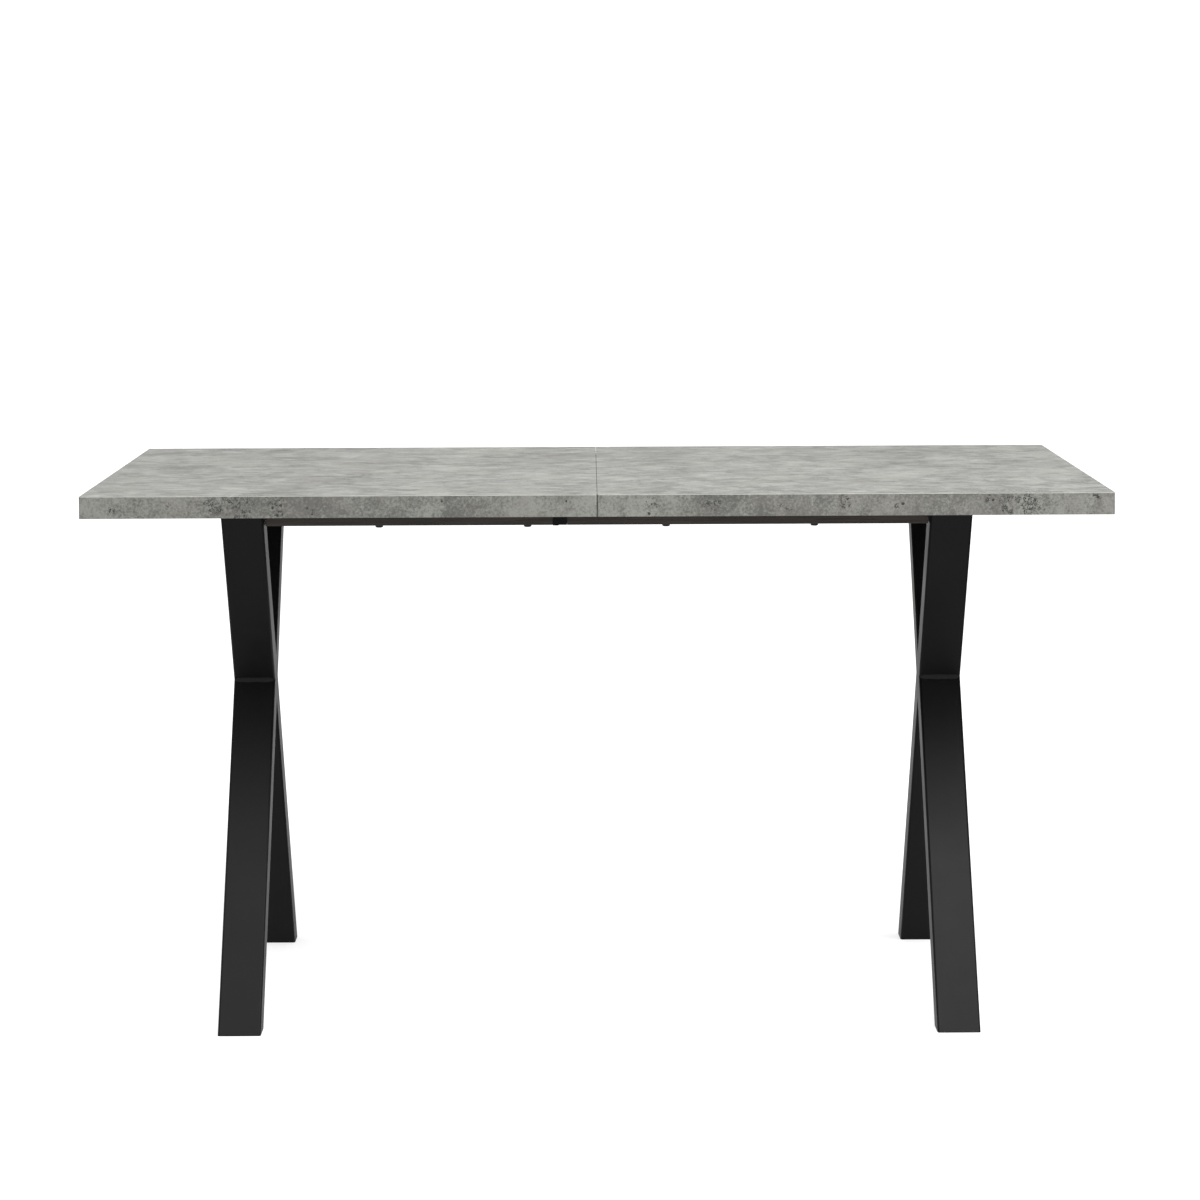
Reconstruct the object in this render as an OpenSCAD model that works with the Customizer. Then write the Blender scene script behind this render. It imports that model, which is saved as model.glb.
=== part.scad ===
// Extendable dining table: a two-part concrete-effect top on crossed steel
// legs. Each half slides outwards on a pair of T-slides, and two hook
// latches under the seam hold the halves together.
//
// Origin: middle of the footprint, on the floor. +X runs along the table,
// +Y points to the rear edge, +Z is up. The right half is the left half
// turned half a turn about Z, apart from the dowels and their sleeves.

/* [Table top] */
// Closed length of the table
top_len = 1400; // [1300:10:1600]
// Width of the table
top_w = 800; // [760:10:900]
// Height of the top surface above the floor
table_h = 760; // [740:1:780]
// Thickness of the top with its facings
top_t = 30; // [26:1:38]
// Thickness of the decor laminate and of the backer
facing_t = 0.8; // [0.5:0.1:1.5]
// Thickness of the edge band
edge_t = 1; // [0.8:0.1:2]
// Radius of the vertical corners
corner_r = 2.5; // [2.1:0.1:5]
// Gap between the halves when closed
seam_gap = 0.4; // [0.4:0.1:2]

/* [Legs] */
// Width of the leg tube, along the table
tube_w = 60; // [50:1:70]
// Depth of the leg tube, across its slope
tube_d = 40; // [35:1:45]
// Wall of the leg tube
tube_wall = 2; // [1.5:0.5:3]
// Outer corner radius of the leg tube
tube_r = 3; // [2.5:0.5:4]
// Distance of each leg frame from the middle of the table
leg_x = 500; // [490:1:550]
// Slope of the leg bars from the vertical, in degrees
leg_angle = 33.3; // [30:0.1:35]
// Height of the crossing of the two bars
cross_h = 455.5; // [440:0.5:470]
// Length of the steel plate on top of a leg frame
plate_len = 520; // [500:10:560]
// Thickness of that plate
plate_t = 5; // [4:0.5:6]
// Thickness of the foot caps under the tubes
foot_t = 3; // [2:0.5:5]

/* [Rails and slides] */
// Depth of a rail below the top
rail_h = 34; // [34:1:40]
// Width of a rail
rail_w = 36; // [34:1:40]
// Outer face of a rail, from the middle of the table
rail_y = 175; // [170:1:180]
// Outer end of the rails
rail_end = 468; // [460:1:468]
// Seam end of the short rail, short of the seam
short_end = 62; // [60:1:64]
// Seam end of the long rail, past the seam
long_end = 42; // [40:1:44]
// Outward travel of each half
travel = 200; // [150:5:210]
// Length of a T-slide
slide_len = 860; // [840:5:900]
// Length of a slide's end shoe
shoe_len = 35; // [25:1:40]
// Places of the rail screws, from the middle of the table
rail_screw_x = [98, 308];

/* [Seam hardware] */
// Places of the seam dowels across the table
dowel_y = [-280, 0, 280];
// Radius of a seam dowel
dowel_r = 4; // [3:0.5:5]
// Distance of each latch from the middle of the table
latch_y = 90; // [80:1:95]
// Angle of a latch hook when it is open, in degrees
latch_turn = 75; // [60:1:80]

/* [Hidden] */
$fn = 64;
eps = 0.01;
cut = 1;                  // how far a cutting shape runs past a surface
clear = 0.35;             // running clearance of shoes and liners
under_z = table_h - top_t;
half_len = top_len / 2;

// Leg frame
plate_z = under_z - plate_t;
bar_len = 2 * table_h;    // longer than any bar; the cuts set its ends
plate_screw_x = [-12, 12];
plate_screw_y = [-235, -110, 110, 235];
plate_r = 6;
plate_hole_play = 0.5;
bolt_r = 2.5;
bolt_head_r = 6;
bolt_head_h = 4;
bolt_len = 22;
plug_h = 15;
bore_r = tube_r - tube_wall + 0.5;
weld_r = 4;
weld_inset = tube_r + 1;  // ends of a bead, from the tube's sides

// Pan heads of the leg and rail screws
pan_taper = 0.72;         // radius of the crown, as a part of the head's
recess_w = 1.2;

// Rail section: a T-slot opens towards the middle of the table
rail_z = under_z - rail_h;
slot_z = rail_z + rail_h / 2;
slot_mouth_h = 12;
slot_mouth_d = 6;
slot_h = 20;
slot_d = 9;
relief = 0.8;             // the long rail passes under the other half
rail_bolt_len = rail_h + 16;
rail_bolt_head_r = 5.5;
rail_bolt_head_h = 3.6;
rail_bolt_y = 10;         // from the rail's outer face
cap_len = 20;
cap_flange = 8;
cap_skin = 0.8;
cap_gap = 0.2;

// T-slide
slide_head_h = 16;
slide_head_d = 5.8;
slide_neck_h = 8;
slide_web_t = 12;
slide_gap = 0.5;          // between the web and the rail
slide_web_drop = 0.6;     // under the top
slide_web_h = 31.4;
slot_face_y = -rail_y + rail_w;
web_y = slot_face_y + slide_gap;
head_y = slot_face_y - slot_mouth_d - (slot_d + slide_head_d) / 2;

// Seam dowels and sleeves
dowel_z = under_z + top_t / 2;
dowel_in = 22;
dowel_out = 14;
dowel_tip = 2;            // length of the tapered tip
dowel_tip_r = dowel_r - 1.5;
sleeve_wall = 1.2;
sleeve_bore_r = dowel_r + 0.3;
sleeve_r = sleeve_bore_r + sleeve_wall;
sleeve_len = 24;

// Latches
latch_plate_t = 2;
latch_plate_w = 26;
latch_plate_len = 44;
latch_plate_r = 4;
keeper_w = 26;
plate_screw_dx = 17;      // latch screws, from the middle of their plate
plate_screw_dy = 8;
keeper_screw_d = 8.5;
pivot_x = -34;
post_x = 18;
latch_reach = post_x - pivot_x;
post_r = 3;
post_play = 0.4;
hook_t = 4;
hook_gap = 0.4;
hook_w = 14;
hook_eye_r = 9;
hook_bore_r = post_r + 0.06;
hook_tip = 5;             // steel past the notch
hook_tip_r = 3;
hook_tail_len = 24;
hook_tail_w = 10;
tab_t = 2.5;              // finger tab, bent down at the end of the tail
tab_h = 8;
pin_head_r = 5.5;
pin_head_h = 2.6;
pin_chamfer = 0.8;
latch_screw_r = 2;
latch_screw_head_r = 3.5;
latch_screw_head_h = 1.2;
latch_screw_len = 13;
latch_recess = [3.6, 0.8, 0.7];
hook_z = under_z - latch_plate_t - hook_gap - hook_t;
pin_len = latch_plate_t + 2 * hook_gap + hook_t;

CONCRETE = [0.66, 0.66, 0.63];
BOARD = [0.72, 0.60, 0.44];
BACKER = [0.60, 0.60, 0.58];
BLACK_STEEL = [0.10, 0.10, 0.10];
RAIL_WOOD = [0.22, 0.20, 0.18];
PLASTIC = [0.06, 0.06, 0.06];
NYLON = [0.85, 0.84, 0.80];
ZINC = [0.70, 0.71, 0.73];
SLIDE_METAL = [0.16, 0.16, 0.17];

// ---- Helpers --------------------------------------------------------------

// Half a turn about Z: places a left-half piece on the right half
module turned() {
    rotate([0, 0, 180]) children();
}

// Rear counterpart of a front piece on the same half
module to_rear() {
    mirror([0, 1, 0]) children();
}

// Rectangle with true round corners, centred
module round_rect(w, d, r) {
    square([w - 2 * r, d], center = true);
    square([w, d - 2 * r], center = true);
    for (sx = [-1, 1], sy = [-1, 1])
        translate([sx * (w / 2 - r), sy * (d / 2 - r)]) circle(r = r);
}

// A section drawn in Y and Z, run along X from x0 to x1
module along_x(x0, x1) {
    translate([x0, 0, 0]) rotate([90, 0, 90])
        linear_extrude(height = x1 - x0) children();
}

// Rectangle given by its low and high corners
module span(low, high) {
    translate(low) square(high - low);
}

// ---- Table top ------------------------------------------------------------

// Outline of a half top, drawn in by a margin on every side
module half_outline(margin) {
    len = half_len - seam_gap / 2 - 2 * margin;
    r = corner_r - margin;
    translate([-half_len + margin + len / 2, 0])
        round_rect(len, top_w - 2 * margin, r);
}

// Pilot holes for every screw that goes up into a half top
module screw_pilots() {
    for (x = plate_screw_x, y = plate_screw_y)
        translate([-leg_x + x, y, plate_z]) cylinder(r = bolt_r, h = bolt_len);
    for (x = rail_screw_x, y = [-1, 1])
        translate([-x, y * (rail_y - rail_bolt_y), rail_z])
            cylinder(r = bolt_r, h = rail_bolt_len);
    latch_screw_places()
        translate([0, 0, latch_screw_head_h])
            cylinder(r = latch_screw_r, h = latch_screw_len - latch_screw_head_h);
}

// Holes in the seam edge, for the dowels or for their sleeves
module seam_holes(r, depth) {
    for (y = dowel_y)
        translate([-depth - seam_gap / 2, y, dowel_z]) rotate([0, 90, 0])
            cylinder(r = r, h = depth + cut);
}

module top_core(hole_r, hole_depth) {
    color(BOARD) difference() {
        translate([0, 0, under_z + facing_t])
            linear_extrude(height = top_t - 2 * facing_t) half_outline(edge_t);
        screw_pilots();
        seam_holes(hole_r, hole_depth);
    }
}

module top_laminate() {
    color(CONCRETE) translate([0, 0, table_h - facing_t])
        linear_extrude(height = facing_t) half_outline(0);
}

module top_backer() {
    color(BACKER) difference() {
        translate([0, 0, under_z])
            linear_extrude(height = facing_t) half_outline(edge_t);
        screw_pilots();
    }
}

module edge_band(hole_r) {
    color(CONCRETE) difference() {
        translate([0, 0, under_z])
            linear_extrude(height = top_t - facing_t) difference() {
                half_outline(0);
                half_outline(edge_t);
            }
        seam_holes(hole_r, 2 * edge_t);
    }
}

module seam_dowels() {
    straight = dowel_in + dowel_out - dowel_tip;
    color(NYLON) for (y = dowel_y)
        translate([-dowel_in - seam_gap / 2, y, dowel_z]) rotate([0, 90, 0]) {
            cylinder(r = dowel_r, h = straight);
            translate([0, 0, straight])
                cylinder(r1 = dowel_r, r2 = dowel_tip_r, h = dowel_tip);
        }
}

// Drawn as on the left half; the file's last lines turn them to the right
module dowel_sleeves() {
    color(PLASTIC) for (y = dowel_y)
        translate([-sleeve_len - seam_gap / 2, y, dowel_z]) rotate([0, 90, 0])
            difference() {
                cylinder(r = sleeve_r, h = sleeve_len);
                translate([0, 0, sleeve_wall])
                    cylinder(r = sleeve_bore_r, h = sleeve_len);
            }
}

// ---- Leg frame ------------------------------------------------------------

// A straight bar through the crossing; slope +1 leans to the rear
module leg_bar(slope, w, d, r) {
    translate([-leg_x, 0, cross_h]) rotate([-slope * leg_angle, 0, 0])
        linear_extrude(height = bar_len, center = true) round_rect(w, d, r);
}

module bar_outside(slope) {
    leg_bar(slope, tube_w, tube_d, tube_r);
}

module bar_inside(slope) {
    leg_bar(slope, tube_w - 2 * tube_wall, tube_d - 2 * tube_wall, bore_r);
}

// Everything between two heights, around the leg frame
module level(z0, z1) {
    translate([-leg_x - tube_w, -top_w, z0])
        cube([2 * tube_w, 2 * top_w, z1 - z0]);
}

module leg_long_bar() {
    color(BLACK_STEEL) difference() {
        intersection() {
            bar_outside(1);
            level(foot_t, plate_z);
        }
        bar_inside(1);
    }
}

// A half bar between two heights, coped to the long bar
module coped_bar(z0, z1) {
    color(BLACK_STEEL) difference() {
        intersection() {
            bar_outside(-1);
            level(z0, z1);
        }
        bar_inside(-1);
        bar_outside(1);
    }
}

module leg_upper_bar() {
    coped_bar(cross_h, plate_z);
}

module leg_lower_bar() {
    coped_bar(foot_t, cross_h);
}

// Beads in the four corners where the bars cross
module leg_welds() {
    reach_y = tube_d / 2 / cos(leg_angle);
    reach_z = tube_d / 2 / sin(leg_angle);
    bead_len = tube_w - 2 * weld_inset;
    color(BLACK_STEEL) difference() {
        for (p = [[-reach_y, 0], [reach_y, 0], [0, -reach_z], [0, reach_z]])
            translate([-leg_x - bead_len / 2, p[0], cross_h + p[1]])
                rotate([0, 90, 0]) cylinder(r = weld_r, h = bead_len);
        bar_outside(1);
        bar_outside(-1);
    }
}

module leg_top_plate() {
    color(BLACK_STEEL) translate([-leg_x, 0, plate_z]) difference() {
        linear_extrude(height = plate_t) round_rect(tube_w, plate_len, plate_r);
        for (x = plate_screw_x, y = plate_screw_y)
            translate([x, y, -cut])
                cylinder(r = bolt_r + plate_hole_play, h = plate_t + 2 * cut);
    }
}

// Cap under each foot, with a plug that fits inside the tube
module foot_cap(slope) {
    intersection() {
        bar_outside(slope);
        level(0, foot_t);
    }
    intersection() {
        bar_inside(slope);
        level(foot_t - eps, foot_t + plug_h);
    }
}

module foot_caps() {
    color(PLASTIC) {
        foot_cap(1);
        foot_cap(-1);
    }
}

// ---- Screws ---------------------------------------------------------------

// Pan-head screw with a cross recess, seated at the origin and driven up
module pan_screw(shank_r, len, head_r, head_h) {
    recess_d = head_h / 2;
    cylinder(r = shank_r, h = len);
    difference() {
        union() {
            translate([0, 0, -head_h / 2]) cylinder(r = head_r, h = head_h / 2);
            translate([0, 0, -head_h])
                cylinder(r1 = pan_taper * head_r, r2 = head_r, h = head_h / 2);
        }
        for (a = [0, 90]) rotate([0, 0, a])
            translate([-head_r / 2, -recess_w / 2, -head_h - cut])
                cube([head_r, recess_w, cut + recess_d]);
    }
}

module leg_screws() {
    color(ZINC) for (x = plate_screw_x, y = plate_screw_y)
        translate([-leg_x + x, y, plate_z])
            pan_screw(bolt_r, bolt_len, bolt_head_r, bolt_head_h);
}

module rail_screws() {
    color(PLASTIC) for (x = rail_screw_x, y = [-1, 1])
        translate([-x, y * (rail_y - rail_bolt_y), rail_z])
            pan_screw(bolt_r, rail_bolt_len, rail_bolt_head_r, rail_bolt_head_h);
}

// ---- Rails ----------------------------------------------------------------

// Section of the T-slot, grown by g on every side
module slot_section(g) {
    span([slot_face_y - slot_mouth_d - slot_d - g, slot_z - slot_h / 2 - g],
         [slot_face_y - slot_mouth_d + g, slot_z + slot_h / 2 + g]);
    span([slot_face_y - slot_mouth_d - cut, slot_z - slot_mouth_h / 2 - g],
         [slot_face_y + cut, slot_z + slot_mouth_h / 2 + g]);
}

// Section of a slide's head and neck, grown by g on every side
module tee_section(g) {
    span([head_y - g, slot_z - slide_head_h / 2 - g],
         [head_y + slide_head_d + g, slot_z + slide_head_h / 2 + g]);
    span([head_y + cut, slot_z - slide_neck_h / 2 - g],
         [web_y + cut, slot_z + slide_neck_h / 2 + g]);
}

module rail_section(skin) {
    difference() {
        span([-rail_y - skin, rail_z - skin], [slot_face_y, under_z]);
        slot_section(0);
    }
}

// Front rail from its outer end to seam_x, with the holes for its screws
module rail(seam_x) {
    color(RAIL_WOOD) difference() {
        along_x(-rail_end, seam_x) rail_section(0);
        for (x = rail_screw_x)
            translate([-x, -rail_y + rail_bolt_y, rail_z - cut])
                cylinder(r = bolt_r, h = rail_h + 2 * cut);
        translate([-seam_gap, -rail_y - cut, under_z - relief])
            cube([long_end + seam_gap + cut, rail_w + 2 * cut, relief + cut]);
    }
}

module short_rail() {
    rail(-short_end);
}

module long_rail() {
    to_rear() rail(long_end);
}

// Buffer on the short rail: it meets the other half's long rail when closed
module rail_end_cap() {
    color(PLASTIC) {
        along_x(-short_end, -short_end + cap_flange) rail_section(cap_skin);
        along_x(-short_end + cap_flange, -short_end + cap_len - cap_gap)
            rail_section(0);
    }
}

// Liner at a rail's mouth; its outer end stops the slide's shoe
module liner(seam_x) {
    stop_x = -slide_len / 2 + shoe_len + travel + 0.5;
    along_x(stop_x, seam_x) difference() {
        intersection() {
            slot_section(0);
            span([-rail_y, rail_z], [slot_face_y, under_z]);
        }
        tee_section(clear);
    }
}

module rail_liners() {
    color(NYLON) {
        liner(-short_end);
        to_rear() liner(long_end);
    }
}

// ---- T-slides -------------------------------------------------------------

module slide() {
    web_top = under_z - slide_web_drop;
    color(SLIDE_METAL) along_x(-slide_len / 2, slide_len / 2) {
        tee_section(0);
        span([web_y, web_top - slide_web_h], [web_y + slide_web_t, web_top]);
    }
}

// Nylon shoe around the end of a slide's head
module shoe() {
    along_x(-slide_len / 2, -slide_len / 2 + shoe_len) difference() {
        span([slot_face_y - slot_mouth_d - slot_d + clear,
              slot_z - slot_h / 2 + clear],
             [slot_face_y - slot_mouth_d - clear,
              slot_z + slot_h / 2 - clear]);
        tee_section(0);
    }
}

module slide_shoes() {
    color(NYLON) for (end = [0, 1]) mirror([end, 0, 0]) {
        shoe();
        to_rear() shoe();
    }
}

// ---- Latches --------------------------------------------------------------

// Screws of the front latch plate and of the rear keeper on one half
module latch_screw_places() {
    for (sx = [-1, 1], sy = [-1, 1]) {
        translate([pivot_x + sx * plate_screw_dx, -latch_y + sy * plate_screw_dy,
                   under_z - latch_plate_t])
            children();
        translate([-post_x + sx * keeper_screw_d, latch_y + sy * keeper_screw_d,
                   under_z - latch_plate_t])
            children();
    }
}

// Clearance for a flat-head screw in a latch plate
module latch_screw_holes() {
    latch_screw_places() {
        translate([0, 0, -cut])
            cylinder(r = latch_screw_head_r, h = latch_screw_head_h + cut);
        cylinder(r = latch_screw_r, h = latch_plate_t + cut);
    }
}

module latch_screws() {
    color(ZINC) latch_screw_places() {
        difference() {
            cylinder(r = latch_screw_head_r, h = latch_screw_head_h);
            for (a = [0, 90]) rotate([0, 0, a])
                translate([-latch_recess.x / 2, -latch_recess.y / 2, -cut])
                    cube(latch_recess + [0, 0, cut]);
        }
        translate([0, 0, latch_screw_head_h])
            cylinder(r = latch_screw_r, h = latch_screw_len - latch_screw_head_h);
    }
}

module latch_plate() {
    color(ZINC) difference() {
        translate([pivot_x, -latch_y, under_z - latch_plate_t])
            linear_extrude(height = latch_plate_t) difference() {
                round_rect(latch_plate_len, latch_plate_w, latch_plate_r);
                circle(r = post_r);
            }
        latch_screw_holes();
    }
}

// Headed pin, hanging from a plate
module headed_pin() {
    translate([0, 0, under_z - pin_len]) cylinder(r = post_r, h = pin_len);
    translate([0, 0, under_z - pin_len - pin_head_h]) {
        cylinder(r1 = pin_head_r - pin_chamfer, r2 = pin_head_r, h = pin_chamfer);
        translate([0, 0, pin_chamfer])
            cylinder(r = pin_head_r, h = pin_head_h - pin_chamfer);
    }
}

module latch_pivot() {
    color(ZINC) translate([pivot_x, -latch_y, 0]) headed_pin();
}

// Keeper plate and post for the other half's hook
module latch_keeper() {
    color(ZINC) difference() {
        union() {
            translate([-post_x, latch_y, under_z - latch_plate_t])
                linear_extrude(height = latch_plate_t)
                    round_rect(keeper_w, keeper_w, latch_plate_r);
            translate([-post_x, latch_y, 0]) headed_pin();
        }
        latch_screw_holes();
    }
}

// Outline of the hook as it points along +X, with the notch on its -Y side
module hook_outline() {
    notch_r = post_r + post_play;
    tip = latch_reach + notch_r + hook_tip;
    side = hook_w / 2;
    difference() {
        union() {
            circle(r = hook_eye_r);
            span([0, -side], [tip - hook_tip_r, side]);
            span([0, -side + hook_tip_r], [tip, side - hook_tip_r]);
            for (s = [-1, 1])
                translate([tip - hook_tip_r, s * (side - hook_tip_r)])
                    circle(r = hook_tip_r);
            span([-hook_tail_len, -hook_tail_w / 2], [0, hook_tail_w / 2]);
        }
        circle(r = hook_bore_r);
        translate([latch_reach, 0]) circle(r = notch_r);
        intersection() {
            difference() {
                circle(r = latch_reach + notch_r);
                circle(r = latch_reach - notch_r);
            }
            translate([0, -2 * hook_w]) square([2 * latch_reach, 2 * hook_w]);
        }
    }
}

module latch_hook() {
    color(ZINC) translate([pivot_x, -latch_y, hook_z]) rotate([0, 0, latch_turn]) {
        linear_extrude(height = hook_t) hook_outline();
        translate([-hook_tail_len, -hook_tail_w / 2, -tab_h])
            cube([tab_t, hook_tail_w, tab_h + eps]);
    }
}

// ---- Nodes ----------------------------------------------------------------

top_core(dowel_r, dowel_in);  // left_top_core
top_laminate();  // left_top_laminate
top_backer();  // left_top_backer
edge_band(dowel_r);  // left_edge_band
leg_long_bar();  // left_leg_long_bar
leg_upper_bar();  // left_leg_upper_bar
leg_lower_bar();  // left_leg_lower_bar
leg_welds();  // left_leg_welds
leg_top_plate();  // left_leg_top_plate
leg_screws();  // left_leg_screws
foot_caps();  // left_foot_caps
short_rail();  // left_front_rail
long_rail();  // left_rear_rail
rail_screws();  // left_rail_screws
rail_end_cap();  // left_rail_end_cap
rail_liners();  // left_rail_liners
latch_screws();  // left_latch_screws

turned() top_core(sleeve_r, sleeve_len);  // right_top_core
turned() top_laminate();  // right_top_laminate
turned() top_backer();  // right_top_backer
turned() edge_band(sleeve_r);  // right_edge_band
turned() leg_long_bar();  // right_leg_long_bar
turned() leg_upper_bar();  // right_leg_upper_bar
turned() leg_lower_bar();  // right_leg_lower_bar
turned() leg_welds();  // right_leg_welds
turned() leg_top_plate();  // right_leg_top_plate
turned() leg_screws();  // right_leg_screws
turned() foot_caps();  // right_foot_caps
turned() long_rail();  // right_front_rail
turned() short_rail();  // right_rear_rail
turned() rail_screws();  // right_rail_screws
turned() rail_end_cap();  // right_rail_end_cap
turned() rail_liners();  // right_rail_liners
turned() latch_screws();  // right_latch_screws

seam_dowels();
turned() dowel_sleeves();
latch_plate();  // front_latch_plate
turned() latch_plate();  // rear_latch_plate
latch_pivot();  // front_latch_pivot
turned() latch_pivot();  // rear_latch_pivot
turned() latch_keeper();  // front_latch_keeper
latch_keeper();  // rear_latch_keeper
latch_hook();  // front_latch_hook
turned() latch_hook();  // rear_latch_hook
slide();  // front_slide
to_rear() slide();  // rear_slide
slide_shoes();
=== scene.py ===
"""Looks of the extendable dining table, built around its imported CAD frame.

Every size is in metres, in the frame of the CAD model: +X along the table,
+Y towards its rear edge, +Z up, with the origin on the floor at its middle.
"""
import math
import random

import bmesh
import bpy
from mathutils import Matrix, Vector


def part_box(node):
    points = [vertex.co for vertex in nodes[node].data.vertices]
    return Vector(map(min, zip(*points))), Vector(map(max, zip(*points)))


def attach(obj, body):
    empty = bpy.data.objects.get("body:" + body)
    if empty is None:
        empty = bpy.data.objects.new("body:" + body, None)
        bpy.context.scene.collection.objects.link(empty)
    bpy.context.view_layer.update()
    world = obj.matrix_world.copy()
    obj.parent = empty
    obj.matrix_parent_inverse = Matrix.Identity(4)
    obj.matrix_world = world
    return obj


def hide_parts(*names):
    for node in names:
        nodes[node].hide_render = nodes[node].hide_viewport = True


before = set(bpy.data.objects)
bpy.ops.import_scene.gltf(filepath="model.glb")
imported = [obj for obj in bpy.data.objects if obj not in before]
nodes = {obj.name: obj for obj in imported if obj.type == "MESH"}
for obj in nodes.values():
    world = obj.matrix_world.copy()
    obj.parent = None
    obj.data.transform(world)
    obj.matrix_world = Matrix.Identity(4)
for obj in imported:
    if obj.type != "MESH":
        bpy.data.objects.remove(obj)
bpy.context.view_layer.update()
scene = bpy.context.scene

SIDES = ("left", "right")
BODY = {"left": "left_half", "right": "right_half"}

# ---- Places read from the frame -------------------------------------------

top_low, top_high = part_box("left_edge_band")
TABLE_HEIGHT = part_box("left_top_laminate")[1].z
UNDERSIDE = top_low.z
SEAM_FACE = -top_high.x
HALF_WIDTH = top_high.y
plate_low, plate_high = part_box("left_leg_top_plate")
LEG_X = abs(plate_low.x + plate_high.x) / 2
PLATE_UNDER = plate_low.z
RAIL_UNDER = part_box("left_front_rail")[0].z
weld_low, weld_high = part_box("left_leg_welds")
CROSSING_HEIGHT = (weld_low.z + weld_high.z) / 2

# The leg tube's depth and the lean of the bars, which the frame's boxes don't tell
TUBE_DEPTH = 0.040
LEG_LEAN = math.radians(33.3)


# ---- Node-tree helper ------------------------------------------------------

class Finish:
    """A node-based material, with short calls for the nodes it is made of."""

    def __init__(self, name, color, roughness, **sockets):
        self.material = bpy.data.materials.new(name)
        self.material.use_nodes = True
        self.tree = self.material.node_tree
        self.shader = self.tree.nodes["Principled BSDF"]
        self.shader.inputs["Base Color"].default_value = (*color, 1)
        self.shader.inputs["Roughness"].default_value = roughness
        for key, value in sockets.items():
            self.shader.inputs[key.replace("_", " ")].default_value = value
        self.place = self.node("ShaderNodeTexCoord").outputs["Object"]

    def node(self, kind, **settings):
        """A new node of a kind, with its settings."""
        made = self.tree.nodes.new(kind)
        for key, value in settings.items():
            setattr(made, key, value)
        return made

    def feed(self, socket, value):
        """Sets a socket, or links an output to it."""
        if isinstance(value, bpy.types.NodeSocket):
            self.tree.links.new(value, socket)
        else:
            socket.default_value = value

    def stretch(self, scale):
        """The object's own coordinates, scaled by a different factor per axis."""
        made = self.node("ShaderNodeMapping")
        self.feed(made.inputs["Vector"], self.place)
        made.inputs["Scale"].default_value = scale
        return made.outputs["Vector"]

    def noise(self, scale, detail=4.0, roughness=0.5, distortion=0.0, place=None):
        """Cloudy noise from 0 to 1."""
        made = self.node("ShaderNodeTexNoise")
        self.feed(made.inputs["Vector"], place or self.place)
        made.inputs["Scale"].default_value = scale
        made.inputs["Detail"].default_value = detail
        made.inputs["Roughness"].default_value = roughness
        made.inputs["Distortion"].default_value = distortion
        return made.outputs[0]

    def cells(self, scale, feature="F1", place=None, output="Distance"):
        """Cells round scattered points."""
        made = self.node("ShaderNodeTexVoronoi", feature=feature)
        self.feed(made.inputs["Vector"], place or self.place)
        made.inputs["Scale"].default_value = scale
        return made.outputs[output]

    def math(self, operation, *values):
        """One step of arithmetic on numbers or outputs."""
        made = self.node("ShaderNodeMath", operation=operation)
        for socket, value in zip(made.inputs, values):
            self.feed(socket, value)
        return made.outputs[0]

    def remap(self, value, low, high, to_low=0.0, to_high=1.0):
        """Maps low..high to to_low..to_high, and holds it at the ends."""
        made = self.node("ShaderNodeMapRange", interpolation_type="SMOOTHSTEP")
        self.feed(made.inputs["Value"], value)
        for key, number in (("From Min", low), ("From Max", high),
                            ("To Min", to_low), ("To Max", to_high)):
            made.inputs[key].default_value = number
        return made.outputs["Result"]

    def blend(self, factor, a, b, mode="MIX"):
        """A mix of two colours, each given as numbers or as an output."""
        made = self.node("ShaderNodeMix", data_type="RGBA", blend_type=mode)
        self.feed(made.inputs[0], factor)
        self.feed(made.inputs[6], a if isinstance(a, bpy.types.NodeSocket) else (*a, 1))
        self.feed(made.inputs[7], b if isinstance(b, bpy.types.NodeSocket) else (*b, 1))
        return made.outputs[2]

    def near(self, centre, radius, place=None):
        """1 at a point, falling smoothly to 0 at a radius from it."""
        made = self.node("ShaderNodeVectorMath", operation="DISTANCE")
        self.feed(made.inputs[0], place or self.place)
        made.inputs[1].default_value = centre
        return self.remap(made.outputs["Value"], 0.0, radius, 1.0, 0.0)

    def warp(self, scale, amount):
        """The object's own coordinates, pushed about by a fine noise."""
        push = self.node("ShaderNodeTexNoise")
        self.feed(push.inputs["Vector"], self.place)
        push.inputs["Scale"].default_value = scale
        made = self.node("ShaderNodeVectorMath", operation="MULTIPLY_ADD")
        self.feed(made.inputs[0], push.outputs["Color"])
        made.inputs[1].default_value = (amount, amount, amount)
        self.feed(made.inputs[2], self.place)
        return made.outputs["Vector"]

    def split(self):
        """The object's own coordinates, one output per axis."""
        made = self.node("ShaderNodeSeparateXYZ")
        self.feed(made.inputs[0], self.place)
        return made.outputs

    def color(self, value):
        """Sets the surface's colour."""
        self.feed(self.shader.inputs["Base Color"], value)

    def rough(self, value):
        """Sets the surface's roughness."""
        self.feed(self.shader.inputs["Roughness"], value)

    def bump(self, height, depth, strength=1.0, under=None):
        """Adds relief of a given depth, over any relief that is under it."""
        made = self.node("ShaderNodeBump")
        self.feed(made.inputs["Height"], height)
        made.inputs["Distance"].default_value = depth
        made.inputs["Strength"].default_value = strength
        if under:
            self.feed(made.inputs["Normal"], under)
        self.feed(self.shader.inputs["Normal"], made.outputs["Normal"])
        return made.outputs["Normal"]


# ---- Materials -------------------------------------------------------------

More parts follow.
